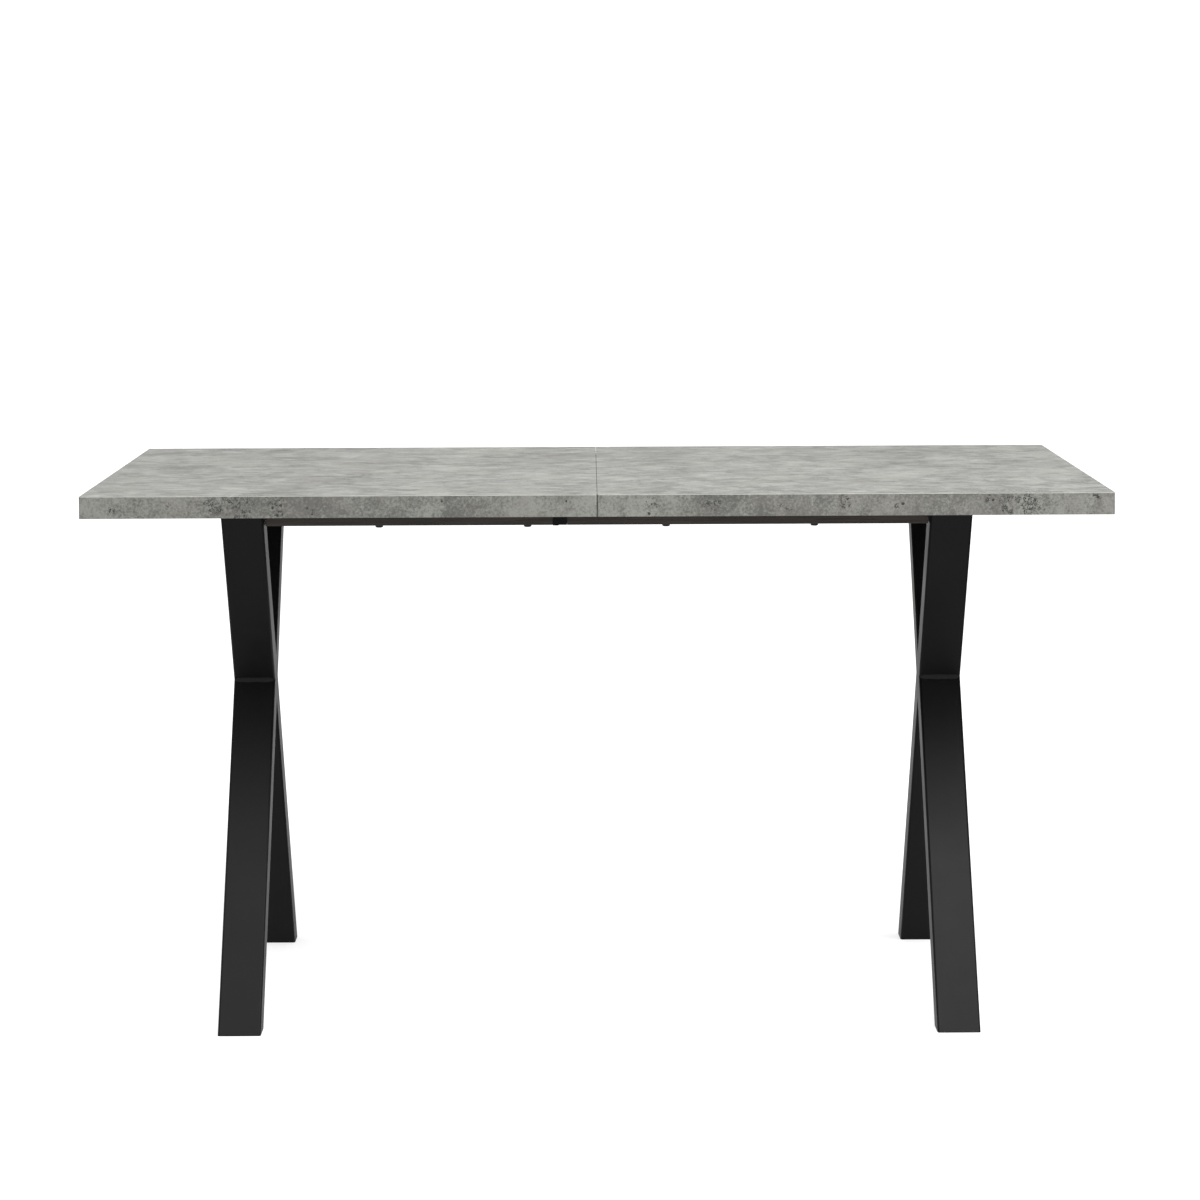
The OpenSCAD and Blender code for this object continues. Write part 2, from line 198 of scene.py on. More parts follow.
# Places where the front edge is worn through to dark pits and hair cracks:
# distance from the seam, height above the underside, and radius
WORN_PLACES = (
    (-0.655, 0.012, 0.009), (-0.585, 0.021, 0.014), (-0.500, 0.008, 0.055),
    (-0.440, 0.013, 0.040), (-0.390, 0.006, 0.020), (0.075, 0.018, 0.018),
    (0.150, 0.022, 0.026), (0.250, 0.012, 0.020), (0.335, 0.020, 0.016),
    (0.410, 0.014, 0.014), (0.535, 0.018, 0.017), (0.580, 0.015, 0.050),
    (0.670, 0.027, 0.020),
)
# Single dark pits in that edge: the same three measures
SINGLE_PITS = (
    (-0.657, 0.0126, 0.0022), (-0.438, 0.0140, 0.0032), (-0.432, 0.0036, 0.0030),
    (-0.385, 0.0050, 0.0022), (-0.210, 0.0220, 0.0022), (-0.042, 0.0210, 0.0022),
    (0.070, 0.0040, 0.0034), (0.413, 0.0160, 0.0032), (0.535, 0.0200, 0.0028),
    (0.548, 0.0060, 0.0022),
)
WARP = 0.0034             # how far a pit's outline is pushed about
WARP_SCALE = 240.0
TONE_WAVE = 0.63          # length of one light and dark stretch of the edge
TONE_WAVE_DEPTH = 0.024

# For the top and for the edge: shares of cloud, blotch, mottle and grit; the
# mottle's scale per axis and its roughness; how far from its middle a tone
# reaches full dark or light; those two colours; and the share of warm patches
TOP_SHARES = (0.14, 0.24, 0.44, 0.18)
TOP_MOTTLE = ((30.0, 44.0, 44.0), 0.66)
TOP_SPREAD = 0.132
TOP_ENDS = ((0.0385, 0.0390, 0.0352), (0.2220, 0.2254, 0.2051))
TOP_WARMTH = 0.35
EDGE_SHARES = (0.09, 0.22, 0.34, 0.35)
EDGE_MOTTLE = ((52.0, 52.0, 52.0), 0.74)
EDGE_SPREAD = 0.085
EDGE_ENDS = ((0.076, 0.076, 0.069), (0.194, 0.198, 0.180))
EDGE_WARMTH = 0.40

# Worn places on the top, where it meets the front edge: distance from the seam, radius
TOP_WORN_PLACES = ((0.575, 0.09), (-0.470, 0.06))
# Painted shade: the dark colour given to the faces inside the seam
SEAM_SHADE_COLOR = (0.018, 0.018, 0.017)
SEAM_ARRIS = (0.0010, 0.0020)       # the painted arris highlight fades in over this range from a seam face
CONCRETE_WARM = (0.152, 0.142, 0.125)
# Painted shade: the edge band's colour is multiplied by this, darker than the top, as the
# upright face gets less light
EDGE_PAINTED_SHADE = (0.71, 0.70, 0.70)
GRAIN_COLOR = (0.060, 0.060, 0.057)
# Painted highlight: the lighter colour of the laminate's bevelled arris, where light catches
# it
ARRIS_HIGHLIGHT_COLOR = (0.33, 0.33, 0.315)
PIT_COLOR = (0.010, 0.0095, 0.009)


def concrete_tone(f, shares, mottle):
    """Concrete from 0, dark, to 1, light: shares of cloud, blotch, mottle and grit."""
    mottle_scale, mottle_roughness = mottle
    layers = (
        f.noise(2.8, 4.0, 0.55, 0.4),
        f.noise(12.0, 9.0, 0.66, 0.9),
        f.noise(1.0, 8.0, mottle_roughness, 0.7, f.stretch(mottle_scale)),
        f.noise(260.0, 3.0, 0.70, 0.3),
    )
    tone = 0.0
    for share, layer in zip(shares, layers):
        tone = f.math("MULTIPLY_ADD", layer, share, tone)
    return tone


def concrete_shade(f, tone, spread, ends, warmth):
    """Colours a tone from dark to light, with warmer patches and a fine dark grain."""
    shade = f.blend(f.remap(tone, 0.5 - spread, 0.5 + spread), *ends)
    warm = f.remap(f.noise(14.0, 4.0, 0.55, 0.5), 0.44, 0.70, 0.0, warmth)
    shade = f.blend(warm, shade, CONCRETE_WARM)
    grain = f.noise(700.0, 3.0, 0.62)
    return f.blend(f.remap(grain, 0.45, 0.75, 0.0, 0.35), shade, GRAIN_COLOR), grain


def pits_and_cracks(f, worn, place):
    """Dark pits and worm-like cracks, where the surface is worn."""
    broken = f.remap(f.noise(64.0, 4.0, 0.65), 0.44, 0.58)
    worn = f.math("MULTIPLY", worn, broken)
    small = f.remap(f.cells(330.0, place=place), 0.24, 0.30, 1.0, 0.0)
    small = f.math("MULTIPLY", small, f.remap(worn, 0.28, 0.50))
    large = f.remap(f.cells(140.0, place=place), 0.25, 0.29, 1.0, 0.0)
    large = f.math("MULTIPLY", large, f.remap(worn, 0.42, 0.60))
    ridge = f.math("ABSOLUTE", f.math("SUBTRACT", f.noise(72.0, 5.0, 0.68, 1.8), 0.5))
    cracks = f.remap(ridge, 0.018, 0.025, 1.0, 0.0)
    cracks = f.math("MULTIPLY", cracks, f.remap(worn, 0.15, 0.36))
    return f.math("MAXIMUM", f.math("MAXIMUM", small, large), cracks)


def arris(f):
    """1 on the bevels and sides of the sheet, and 0 on its level face."""
    normal = f.node("ShaderNodeNewGeometry").outputs["True Normal"]
    parts = f.node("ShaderNodeSeparateXYZ")
    f.feed(parts.inputs[0], normal)
    lift = f.math("ABSOLUTE", parts.outputs["Z"])
    return f.remap(lift, 0.93, 0.98, 1.0, 0.0)


def from_seam(f):
    """Distance from the middle of the seam."""
    return f.math("ABSOLUTE", f.split()["X"])


def paint_seam_shade(f, shade, roughness):
    """Paints shade on the faces that meet inside the seam by darkening them, and roughens
    them.
    """
    # Painted shade: the faces inside the seam are darkened towards the seam's shade colour
    seam = f.remap(from_seam(f), SEAM_FACE + 0.00005, SEAM_FACE + 0.00025, 1.0, 0.0)
    f.color(f.blend(f.math("MULTIPLY", seam, 0.85), shade, SEAM_SHADE_COLOR))
    f.rough(f.math("MAXIMUM", roughness, f.math("MULTIPLY", seam, 0.95)))


def concrete_top():
    """Concrete-effect laminate on the face of the table, with a painted highlight on its arris
    and painted shade in the seam.
    """
    f = Finish("concrete_top", TOP_ENDS[1], 0.5, Specular_IOR_Level=0.30)
    tone = concrete_tone(f, TOP_SHARES, TOP_MOTTLE)
    shade, grain = concrete_shade(f, tone, TOP_SPREAD, TOP_ENDS, TOP_WARMTH)
    worn = f.remap(f.noise(4.5, 4.0, 0.62), 0.60, 0.74)
    for x, radius in TOP_WORN_PLACES:
        worn = f.math("MAXIMUM", worn, f.near((x, -HALF_WIDTH, TABLE_HEIGHT), radius))
    marks = pits_and_cracks(f, worn, f.warp(WARP_SCALE, WARP))
    shade = f.blend(f.math("MULTIPLY", marks, 0.75), shade, PIT_COLOR)
    # Painted highlight along the laminate's arris, faded out next to the seam
    outer = f.remap(from_seam(f), *(SEAM_FACE + reach for reach in SEAM_ARRIS))
    arris_highlight_mask = f.math("MULTIPLY", arris(f), outer)
    shade = f.blend(f.math("MULTIPLY", arris_highlight_mask, 0.65), shade, ARRIS_HIGHLIGHT_COLOR)
    paint_seam_shade(f, shade, f.remap(tone, 0.35, 0.65, 0.46, 0.56))
    relief = f.bump(tone, 0.0006, 0.35)
    relief = f.bump(grain, 0.00010, 0.35, relief)
    f.bump(marks, -0.0003, 0.5, relief)
    return f.material


def concrete_edge():
    """Concrete-effect edge band: light and dark stretches, with worn places, darkened all over
    as painted shade, and painted shade in the seam.
    """
    f = Finish("concrete_edge", EDGE_ENDS[1], 0.55, Specular_IOR_Level=0.30)
    tone = concrete_tone(f, EDGE_SHARES, EDGE_MOTTLE)
    wave = f.math("COSINE", f.math("MULTIPLY", f.split()["X"], math.tau / TONE_WAVE))
    stretches = f.remap(wave, 0.0, 1.0, -TONE_WAVE_DEPTH, TONE_WAVE_DEPTH)
    tone = f.math("ADD", tone, stretches)
    shade, grain = concrete_shade(f, tone, EDGE_SPREAD, EDGE_ENDS, EDGE_WARMTH)
    # Painted shade: the whole edge band made darker
    shade = f.blend(1.0, shade, EDGE_PAINTED_SHADE, "MULTIPLY")
    worn = f.remap(f.noise(9.0, 4.0, 0.62), 0.66, 0.80)
    for x, z, radius in WORN_PLACES:
        worn = f.math("MAXIMUM", worn, f.near((x, -HALF_WIDTH, UNDERSIDE + z), radius))
    warped = f.warp(WARP_SCALE, WARP)
    marks = pits_and_cracks(f, worn, warped)
    for x, z, radius in SINGLE_PITS:
        centre = (x + WARP / 2, -HALF_WIDTH + WARP / 2, UNDERSIDE + z + WARP / 2)
        pit = f.near(centre, radius, warped)
        marks = f.math("MAXIMUM", marks, f.remap(pit, 0.20, 0.45))
    shade = f.blend(f.math("MULTIPLY", marks, 0.92), shade, PIT_COLOR)
    paint_seam_shade(f, shade, f.remap(tone, 0.35, 0.65, 0.48, 0.62))
    relief = f.bump(tone, 0.0006, 0.35)
    relief = f.bump(grain, 0.00010, 0.35, relief)
    f.bump(marks, -0.0004, 0.7, relief)
    return f.material


def backer_sheet():
    """Plain grey balancing sheet, with a faint paper cloud."""
    f = Finish("backer_sheet", (0.33, 0.33, 0.31), 0.6)
    cloud = f.noise(14.0, 6.0, 0.6)
    speck = f.noise(700.0, 2.0, 0.5)
    shade = f.blend(f.remap(cloud, 0.3, 0.7), (0.30, 0.30, 0.285), (0.37, 0.37, 0.352))
    shade = f.blend(f.remap(speck, 0.5, 0.8, 0.0, 0.25), shade, (0.24, 0.24, 0.23))
    f.color(shade)
    f.bump(speck, 0.00008, 0.4)
    return f.material


def particleboard():
    """Pressed wood chips."""
    f = Finish("particleboard", (0.45, 0.32, 0.19), 0.85)
    chips = f.stretch((240.0, 240.0, 900.0))
    tint = f.cells(1.0, place=chips, output="Color")
    edge = f.cells(1.0, "DISTANCE_TO_EDGE", chips)
    shade = f.blend(0.35, (0.46, 0.33, 0.19), tint, "SOFT_LIGHT")
    shade = f.blend(f.remap(edge, 0.0, 0.12, 0.6, 0.0), shade, (0.20, 0.13, 0.07))
    f.color(shade)
    f.bump(edge, 0.0004, 0.6)
    return f.material


def powder_coat(name, lift):
    """Matte black powder coat with a fine orange peel; lift makes it paler, which paints light
    into the coat.
    """
    f = Finish(name, (0.0030, 0.0030, 0.0031), 0.48, Specular_IOR_Level=0.076)
    peel = f.noise(1500.0, 3.0, 0.55)
    dust = f.noise(5200.0, 2.0, 0.5)
    wide = f.noise(11.0, 4.0, 0.55)
    low = 0.0026 * lift
    high = 0.0036 * lift
    shade = f.blend(f.remap(wide, 0.3, 0.7), (low, low, low), (high, high, high))
    shade = f.blend(f.remap(dust, 0.62, 0.75, 0.0, 0.35), shade, (0.010, 0.010, 0.0104))
    f.color(shade)
    f.rough(f.remap(wide, 0.25, 0.75, 0.45, 0.51))
    f.bump(peel, 0.00012, 0.28)
    return f.material


def stained_wood():
    """Hardwood with a dark stain, its grain along the table."""
    f = Finish("stained_wood", (0.025, 0.021, 0.018), 0.5, Specular_IOR_Level=0.2)
    bend = f.noise(2.4, 3.0, 0.5, 0.6, f.stretch((1.0, 9.0, 9.0)))
    grain = f.noise(1.0, 6.0, 0.68, 0.4, f.stretch((9.0, 330.0, 330.0)))
    pores = f.noise(1.0, 3.0, 0.6, 0.0, f.stretch((40.0, 1500.0, 1500.0)))
    tone = f.math("ADD", f.math("MULTIPLY", bend, 0.5), f.math("MULTIPLY", grain, 0.5))
    shade = f.blend(f.remap(tone, 0.36, 0.66), (0.012, 0.010, 0.0083), (0.036, 0.0285, 0.0235))
    pore = f.remap(pores, 0.58, 0.70)
    shade = f.blend(f.math("MULTIPLY", pore, 0.55), shade, (0.007, 0.006, 0.005))
    f.color(shade)
    f.rough(f.remap(grain, 0.3, 0.7, 0.44, 0.58))
    relief = f.bump(grain, 0.00025, 0.35)
    f.bump(pore, -0.0002, 0.4, relief)
    return f.material


def black_plastic():
    """Moulded black plastic with a fine spark-eroded texture."""
    f = Finish("black_plastic", (0.0018, 0.0018, 0.0018), 0.42, Specular_IOR_Level=0.08)
    texture = f.noise(2600.0, 2.0, 0.5)
    scuff = f.noise(1.0, 4.0, 0.7, 0.0, f.stretch((60.0, 400.0, 60.0)))
    f.color(f.blend(f.remap(scuff, 0.62, 0.80, 0.0, 0.4), (0.0018, 0.0018, 0.0018),
                    (0.022, 0.022, 0.021)))
    f.rough(f.remap(texture, 0.3, 0.7, 0.38, 0.52))
    f.bump(texture, 0.00006, 0.3)
    return f.material


def white_nylon():
    """Natural nylon, a little translucent in tone and lightly scratched."""
    f = Finish("white_nylon", (0.66, 0.64, 0.57), 0.38)
    scratch = f.noise(1.0, 3.0, 0.6, 0.0, f.stretch((30.0, 900.0, 900.0)))
    cloud = f.noise(90.0, 3.0, 0.5)
    f.color(f.blend(f.remap(cloud, 0.3, 0.7), (0.62, 0.60, 0.53), (0.70, 0.68, 0.62)))
    f.rough(f.remap(scratch, 0.3, 0.7, 0.32, 0.48))
    f.bump(scratch, 0.00006, 0.25)
    return f.material


def zinc_plate():
    """Bright zinc plating over stamped steel."""
    f = Finish("zinc_plate", (0.56, 0.57, 0.59), 0.34, Metallic=1.0)
    brushed = f.noise(1.0, 4.0, 0.6, 0.0, f.stretch((120.0, 1400.0, 400.0)))
    cloud = f.noise(140.0, 3.0, 0.55)
    shade = f.blend(f.remap(cloud, 0.3, 0.7), (0.50, 0.52, 0.56), (0.62, 0.61, 0.57))
    f.color(shade)
    f.rough(f.remap(brushed, 0.25, 0.75, 0.26, 0.44))
    f.bump(brushed, 0.00003, 0.25)
    return f.material


def black_oxide():
    """Blackened screws, worn a little where a driver turned them."""
    f = Finish("black_oxide", (0.006, 0.0057, 0.0055), 0.42, Specular_IOR_Level=0.2)
    cloud = f.noise(600.0, 4.0, 0.6)
    f.color(f.blend(f.remap(cloud, 0.55, 0.75, 0.0, 0.7), (0.005, 0.0047, 0.0045),
                    (0.030, 0.028, 0.026)))
    f.rough(f.remap(cloud, 0.3, 0.7, 0.30, 0.48))
    f.bump(cloud, 0.00005, 0.3)
    return f.material


def anodised():
    """Black anodised aluminium with drawing lines along the extrusion."""
    f = Finish("anodised", (0.024, 0.024, 0.026), 0.36, Metallic=0.55)
    lines = f.noise(1.0, 5.0, 0.65, 0.0, f.stretch((3.0, 1600.0, 1600.0)))
    wear = f.noise(1.0, 4.0, 0.6, 0.0, f.stretch((14.0, 260.0, 260.0)))
    shade = f.blend(f.remap(lines, 0.35, 0.65), (0.020, 0.020, 0.022), (0.034, 0.034, 0.036))
    shade = f.blend(f.remap(wear, 0.66, 0.80, 0.0, 0.5), shade, (0.11, 0.11, 0.115))
    f.color(shade)
    f.rough(f.remap(lines, 0.3, 0.7, 0.30, 0.44))
    f.bump(lines, 0.00005, 0.3)
    return f.material


def floor_paint():
    """Pale studio floor that gives off light of its own, so that it stays white."""
    f = Finish("floor_paint", (0.34, 0.34, 0.34), 0.85, Specular_IOR_Level=0.1,
               Emission_Color=(1, 1, 1, 1), Emission_Strength=0.68)
    cloud = f.noise(1.3, 3.0, 0.5)
    f.color(f.blend(f.remap(cloud, 0.3, 0.7), (0.33, 0.33, 0.33), (0.35, 0.35, 0.35)))
    return f.material


# ---- Mesh helpers ----------------------------------------------------------

BEVEL_ANGLE = 35.0        # edges flatter than this are left as they are
WELD_DISTANCE = 0.00001


def finish_node(name, material, bevel=0.0, segments=2):
    """Gives a CAD node its material, and softens its edges with modifiers."""
    piece = nodes[name]
    piece.data.materials.clear()
    piece.data.materials.append(material)
    if bevel:
        weld = piece.modifiers.new("weld", "WELD")
        weld.merge_threshold = WELD_DISTANCE
        edge = piece.modifiers.new("edge", "BEVEL")
        edge.width = bevel
        edge.segments = segments
        edge.limit_method = "ANGLE"
        edge.angle_limit = math.radians(BEVEL_ANGLE)
        edge.harden_normals = True


def new_piece(name, mesh_maker, material, body, replaced):
    """A new mesh object that rides on a CAD body, in place of some CAD nodes."""
    mesh = bpy.data.meshes.new(name)
    bm = bmesh.new()
    mesh_maker(bm)
    bmesh.ops.recalc_face_normals(bm, faces=bm.faces)
    bm.to_mesh(mesh)
    bm.free()
    mesh.materials.append(material)
    mesh.shade_smooth()
    piece = bpy.data.objects.new(name, mesh)
    scene.collection.objects.link(piece)
    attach(piece, body)
    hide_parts(*replaced)
    return piece


def ring_surface(bm, rings):
    """Joins rings of points, each a list of vectors, into a closed skin."""
    loops = [[bm.verts.new(p) for p in ring] for ring in rings]
    count = len(loops[0])
    for low, high in zip(loops, loops[1:]):
        for i in range(count):
            j = (i + 1) % count
            bm.faces.new((low[i], low[j], high[j], high[i]))
    bm.faces.new(list(reversed(loops[0])))
    bm.faces.new(loops[-1])


# ---- Weld beads ------------------------------------------------------------

BEAD_SIDES = 18
BEAD_LENGTH = 0.057
WANDER_RATE = 260.0       # of the slow changes of a bead's size, per metre
WANDER = 0.05             # their share of its size
QUICK_RATE = 2.7          # of smaller changes, as a multiple of the slow ones
QUICK_WANDER = 0.03
RIPPLE = 0.0021           # length of one ripple of a bead
RIPPLE_DEPTH = 0.00035
RIPPLE_BOW = 0.25         # how far a ripple curves back, as a share of the bulge
RING_STEP = 0.0006
END_REACH = 0.8           # length of a bead's rounded end, as a share of its width
END_SIZE = 0.04           # square of the smallest size at its very end

# Width and bulge of each kind of bead
FRONT_BEAD = (0.0112, 0.0030)
TOP_BEAD = (0.0080, 0.0040)
PLATE_BEAD = (0.0060, 0.0024)
WELD_SEEDS = {"left": 7, "right": 11}


def weld_bead(bm, middle, outward, width, bulge, seed):
    """A rippled bead along X, half sunk in a corner that opens outwards."""
    rng = random.Random(seed)
    along = Vector((1, 0, 0))
    across = along.cross(outward)
    steps = round(BEAD_LENGTH / RING_STEP)
    wander = rng.uniform(0.0, math.tau)
    rings = []
    for i in range(steps + 1):
        s = BEAD_LENGTH * i / steps
        close = min(s, BEAD_LENGTH - s) / (END_REACH * width)
        end_taper = math.sqrt(max(END_SIZE, 1 - (1 - min(1.0, close)) ** 2))
        phase = (s / RIPPLE) % 1.0
        swell = 1 + WANDER * math.sin(s * WANDER_RATE + wander)
        swell += QUICK_WANDER * math.sin(s * QUICK_RATE * WANDER_RATE + 2 * wander)
        size = (swell - RIPPLE_DEPTH * phase / bulge) * end_taper
        rings.append([
            middle + along * (s - BEAD_LENGTH / 2 - RIPPLE_BOW * bulge * math.cos(a) ** 2)
            + outward * (bulge * size * math.cos(a))
            + across * (width / 2 * size * math.sin(a))
            for a in (math.tau * k / BEAD_SIDES for k in range(BEAD_SIDES))
        ])
    ring_surface(bm, rings)


# ---- Screws ----------------------------------------------------------------

HEAD_SIDES = 40
SHANK_SIDES = 16
SHANK = 0.45              # radius of a shank, as a share of its head's
HEAD_RIM = ((0.90, 0.0), (1.0, 0.06), (1.0, 0.40))    # radius and height, as shares
DOME_ANGLES = range(10, 82, 9)
RECESS_REACH = 0.56       # of the cross recess, as a share of the head's radius
RECESS_ARM = 0.24         # half the width of its arms, as a share of its reach
RECESS_TAPER = 0.72
HEAD_SMOOTHING = 38.0


def pan_head(bm, place, radius, height, recess):
    """A domed screw head that faces down, with a cross recess in it."""
    profile = list(HEAD_RIM)
    for degrees in DOME_ANGLES:
        a = math.radians(degrees)
        profile.append((math.cos(a) ** 0.45, 0.40 + 0.60 * math.sin(a) ** 0.8))
    rings = [
        [
            Vector(place)
            + Vector((radius * r * math.cos(a), radius * r * math.sin(a), -height * h))
            for a in (math.tau * k / HEAD_SIDES for k in range(HEAD_SIDES))
        ]
        for r, h in profile
    ]
    ring_surface(bm, rings)
    tip = Vector(place) + Vector((0, 0, -height))
    cross_recess(bm, tip, radius * RECESS_REACH, recess)


def cross_recess(bm, centre, reach, depth):
    """Cuts a cross-shaped hole into the face at the end of a head."""
    bm.faces.ensure_lookup_table()
    tip = min(bm.faces, key=lambda f: (f.calc_center_median() - centre).length)
    level = tip.calc_center_median().z
    rim = list(tip.verts)
    bm.faces.remove(tip)
    arm = reach * RECESS_ARM
    outline = [
        (reach, -arm), (reach, arm), (arm, arm), (arm, reach),
        (-arm, reach), (-arm, arm), (-reach, arm), (-reach, -arm),
        (-arm, -arm), (-arm, -reach), (arm, -reach), (arm, -arm),
    ]
    mouth = [bm.verts.new((centre.x + x, centre.y + y, level)) for x, y in outline]
    floor = [
        bm.verts.new((centre.x + x * RECESS_TAPER, centre.y + y * RECESS_TAPER, level + depth))
        for x, y in outline
    ]
    count = len(outline)
    for i in range(count):
        j = (i + 1) % count
        bm.faces.new((mouth[i], mouth[j], floor[j], floor[i]))
    bm.faces.new(floor)
    edges = [bm.edges.get((mouth[i], mouth[(i + 1) % count])) for i in range(count)]
    edges += [bm.edges.get((rim[i], rim[(i + 1) % len(rim)])) for i in range(len(rim))]
    bmesh.ops.triangle_fill(bm, edges=edges, use_beauty=True)


def screw_places(node, count):
    """The box of each screw in a node, from the separate solids of its mesh."""
    bm = bmesh.new()
    bm.from_mesh(nodes[node].data)
    bmesh.ops.remove_doubles(bm, verts=bm.verts, dist=0.00002)
    groups = []
    left = set(bm.verts)
    while left:
        stack = [left.pop()]
        group = []
        while stack:
            v = stack.pop()
            group.append(v.co.copy())
            for e in v.link_edges:
                other = e.other_vert(v)
                if other in left:
                    left.remove(other)
                    stack.append(other)
        groups.append(group)
    bm.free()
    groups = [g for g in groups if len(g) > 8]
    places = []
    for group in groups:
        low = Vector([min(p[axis] for p in group) for axis in range(3)])
        high = Vector([max(p[axis] for p in group) for axis in range(3)])
        places.append((low, high))
    places.sort(key=lambda box: tuple(box[0]))
    assert len(places) == count, (node, len(places))
    return places


# ---- Build -----------------------------------------------------------------

TOP = concrete_top()
EDGE = concrete_edge()
BACKER = backer_sheet()
BOARD = particleboard()
COAT = powder_coat("powder_coat", 1.0)
# The weld beads: the same coat painted 2.8 times paler, a painted highlight
WELD_COAT_PAINTED_LIGHT = powder_coat("weld_coat_painted_light", 2.8)
WOOD = stained_wood()
PLASTIC = black_plastic()
NYLON = white_nylon()
ZINC = zinc_plate()
OXIDE = black_oxide()
ANODISED = anodised()

for side in SIDES:
    finish_node(f"{side}_top_laminate", TOP, 0.0007, 3)
    finish_node(f"{side}_edge_band", EDGE, 0.0004, 2)
    finish_node(f"{side}_top_backer", BACKER)
    finish_node(f"{side}_top_core", BOARD)
    for bar in ("long", "upper", "lower"):
        finish_node(f"{side}_leg_{bar}_bar", COAT, 0.0002, 1)
    finish_node(f"{side}_leg_top_plate", COAT, 0.0006, 2)
    finish_node(f"{side}_foot_caps", PLASTIC, 0.0006, 2)
    for place in ("front", "rear"):
        finish_node(f"{side}_{place}_rail", WOOD, 0.0004, 2)
    finish_node(f"{side}_rail_end_cap", PLASTIC, 0.0003, 2)
    finish_node(f"{side}_rail_liners", NYLON, 0.0003, 1)
    finish_node(f"{side}_latch_screws", ZINC, 0.0001, 1)
for place in ("front", "rear"):
    for part in ("plate", "pivot", "keeper", "hook"):
        finish_node(f"{place}_latch_{part}", ZINC, 0.0003, 2)
    finish_node(f"{place}_slide", ANODISED, 0.0005, 2)
finish_node("seam_dowels", NYLON, 0.0003, 2)
finish_node("dowel_sleeves", PLASTIC, 0.0002, 1)
finish_node("slide_shoes", NYLON, 0.0003, 1)


def head_group(side, kind, count, material, recess):
    """Detailed heads and shanks for a node of pan-head screws."""
    node = f"{side}_{kind}"
    seat = {"leg_screws": PLATE_UNDER, "rail_screws": RAIL_UNDER}[kind]

    def make(bm):
        for low, high in screw_places(node, count):
            middle = (low + high) / 2
            radius = (high.x - low.x) / 2
            heads = bmesh.new()
            pan_head(heads, (middle.x, middle.y, seat), radius, seat - low.z, recess)
            shank = SHANK * radius
            rings = [
                [
                    Vector((middle.x + shank * math.cos(a), middle.y + shank * math.sin(a), z))
                    for a in (math.tau * k / SHANK_SIDES for k in range(SHANK_SIDES))
                ]
                for z in (seat, high.z)
            ]
            ring_surface(heads, rings)
            mesh = bpy.data.meshes.new("one_screw")
            heads.to_mesh(mesh)
            heads.free()
            bm.from_mesh(mesh)
            bpy.data.meshes.remove(mesh)

    piece = new_piece(f"{node}_detailed", make, material, BODY[side], [node])
    piece.data.set_sharp_from_angle(angle=math.radians(HEAD_SMOOTHING))


for side in SIDES:
    head_group(side, "leg_screws", 8, ZINC, 0.0022)
    head_group(side, "rail_screws", 4, OXIDE, 0.0016)


def leg_welds(side):
    """Beads at the crossing, and along the tubes under the top plate."""
    node = f"{side}_leg_welds"
    leg_x = -LEG_X if side == "left" else LEG_X
    rng = random.Random(WELD_SEEDS[side])
    half_cut = TUBE_DEPTH / 2 / math.cos(LEG_LEAN)
    half_rise = TUBE_DEPTH / 2 / math.sin(LEG_LEAN)
    plate_rise = PLATE_UNDER - CROSSING_HEIGHT

    def make(bm):
        for way in (-1, 1):
            front = Vector((leg_x, way * half_cut, CROSSING_HEIGHT))
            weld_bead(bm, front, Vector((0, way, 0)), *FRONT_BEAD, rng.random())
            top = Vector((leg_x, 0, CROSSING_HEIGHT + way * half_rise))
            weld_bead(bm, top, Vector((0, 0, way)), *TOP_BEAD, rng.random())
            for face in (-1, 1):
                y = way * plate_rise * math.tan(LEG_LEAN) + face * half_cut
                outward = Vector((0, face, -1)).normalized()
                corner = Vector((leg_x, y, PLATE_UNDER))
                weld_bead(bm, corner, outward, *PLATE_BEAD, rng.random())

    new_piece(f"{node}_detailed", make, WELD_COAT_PAINTED_LIGHT, BODY[side], [node])


for side in SIDES:
    leg_welds(side)


# ---- Studio ----------------------------------------------------------------

FLOOR_REACH = 60.0
WORLD_STRENGTH = 1.15

# The wide sun in front: the direction it shines from, its strength and its spread
SKY_FROM = (0.08, -0.60, 0.80)
SKY_STRENGTH = 2.8
SKY_SPREAD = 40.0
SKY_DISTANCE = 4          # only where the lamp is drawn: a sun's light has no place

# The soft box at the front right: its place, what it aims at, its sides and power
BOX_PLACE = (1.25, -1.75, 2.7)
BOX_TARGET = (0.4, -0.2, 0.4)
BOX_SIZE = (1.0, 1.0)
BOX_POWER = 66

# The camera's place, its turns in degrees, its lens in millimetres and its shift
CAMERA_PLACE = (-0.0125, -5.2814, 1.2222)
CAMERA_YAW = -0.195
CAMERA_PITCH = 4.704
CAMERA_ROLL = -0.241
LENS = 108.95
SENSOR = 36.0
SHIFT_Y = -0.125


def floor():
    """A wide plain floor at the table's feet."""
    mesh = bpy.data.meshes.new("floor")
    bm = bmesh.new()
    bmesh.ops.create_grid(bm, x_segments=8, y_segments=8, size=FLOOR_REACH)
    bm.to_mesh(mesh)
    bm.free()
    mesh.materials.append(floor_paint())
    piece = bpy.data.objects.new("floor", mesh)
    scene.collection.objects.link(piece)


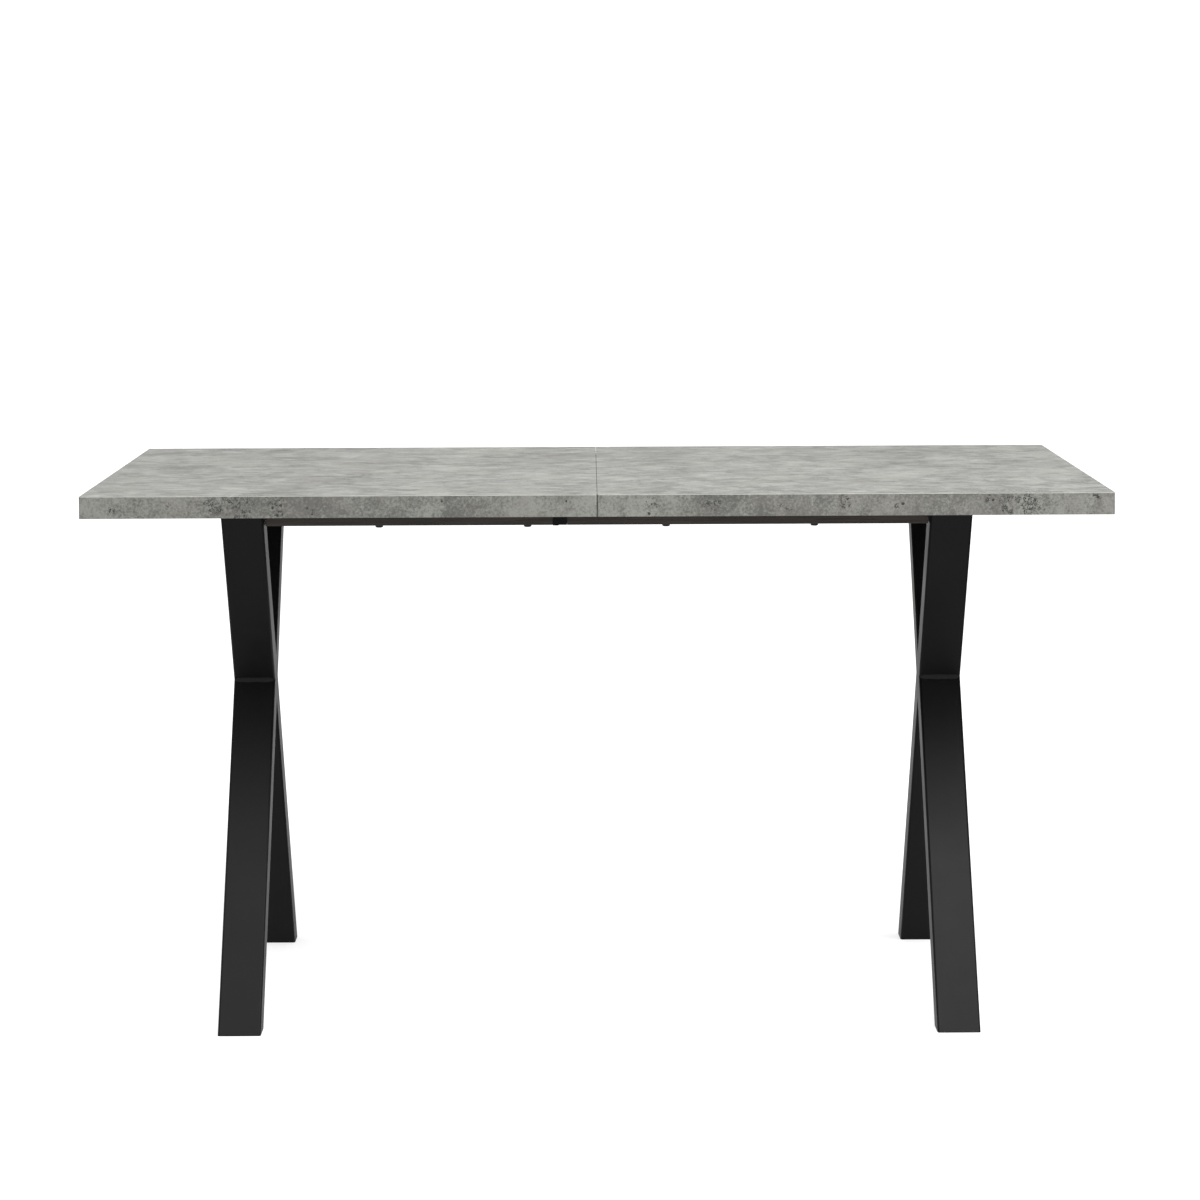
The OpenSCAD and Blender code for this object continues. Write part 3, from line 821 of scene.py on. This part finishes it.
def soft_box(name, place, target, size, power):
    """A rectangular lamp that aims at a point."""
    lamp = bpy.data.lights.new(name, "AREA")
    lamp.shape = "RECTANGLE"
    lamp.size, lamp.size_y = size
    lamp.energy = power
    piece = bpy.data.objects.new(name, lamp)
    piece.location = place
    aim = Vector(target) - Vector(place)
    piece.rotation_euler = aim.to_track_quat("-Z", "Y").to_euler()
    scene.collection.objects.link(piece)


def soft_sky(name, towards, strength, spread):
    """A very wide sun: an endless soft box in one direction."""
    lamp = bpy.data.lights.new(name, "SUN")
    lamp.energy = strength
    lamp.angle = math.radians(spread)
    piece = bpy.data.objects.new(name, lamp)
    piece.location = Vector(towards) * SKY_DISTANCE
    piece.rotation_euler = (-Vector(towards)).to_track_quat("-Z", "Y").to_euler()
    scene.collection.objects.link(piece)


def studio():
    """An even white surround, with soft light from the front and the right."""
    world = bpy.data.worlds.new("studio")
    world.use_nodes = True
    background = world.node_tree.nodes["Background"]
    background.inputs["Color"].default_value = (1, 1, 1, 1)
    background.inputs["Strength"].default_value = WORLD_STRENGTH
    scene.world = world
    scene.view_settings.view_transform = "Standard"
    scene.view_settings.look = "None"
    soft_sky("front_sky", SKY_FROM, SKY_STRENGTH, SKY_SPREAD)
    soft_box("right_box", BOX_PLACE, BOX_TARGET, BOX_SIZE, BOX_POWER)


def camera():
    """A long lens in front of the table, a little left of its middle."""
    yaw = math.radians(CAMERA_YAW)
    pitch = math.radians(CAMERA_PITCH)
    roll = math.radians(CAMERA_ROLL)
    lens = bpy.data.cameras.new("camera")
    lens.sensor_width = SENSOR
    lens.lens = LENS
    lens.shift_y = SHIFT_Y
    piece = bpy.data.objects.new("camera", lens)
    right = Vector((math.cos(yaw), math.sin(yaw), 0))
    ahead = Vector((-math.sin(yaw), math.cos(yaw), 0))
    forward = ahead * math.cos(pitch) - Vector((0, 0, math.sin(pitch)))
    up = ahead * math.sin(pitch) + Vector((0, 0, math.cos(pitch)))
    tilted_right = right * math.cos(roll) + up * math.sin(roll)
    tilted_up = up * math.cos(roll) - right * math.sin(roll)
    turn = Matrix((tilted_right, tilted_up, -forward)).transposed()
    piece.matrix_world = Matrix.Translation(CAMERA_PLACE) @ turn.to_4x4()
    scene.collection.objects.link(piece)
    scene.camera = piece


floor()
studio()
camera()
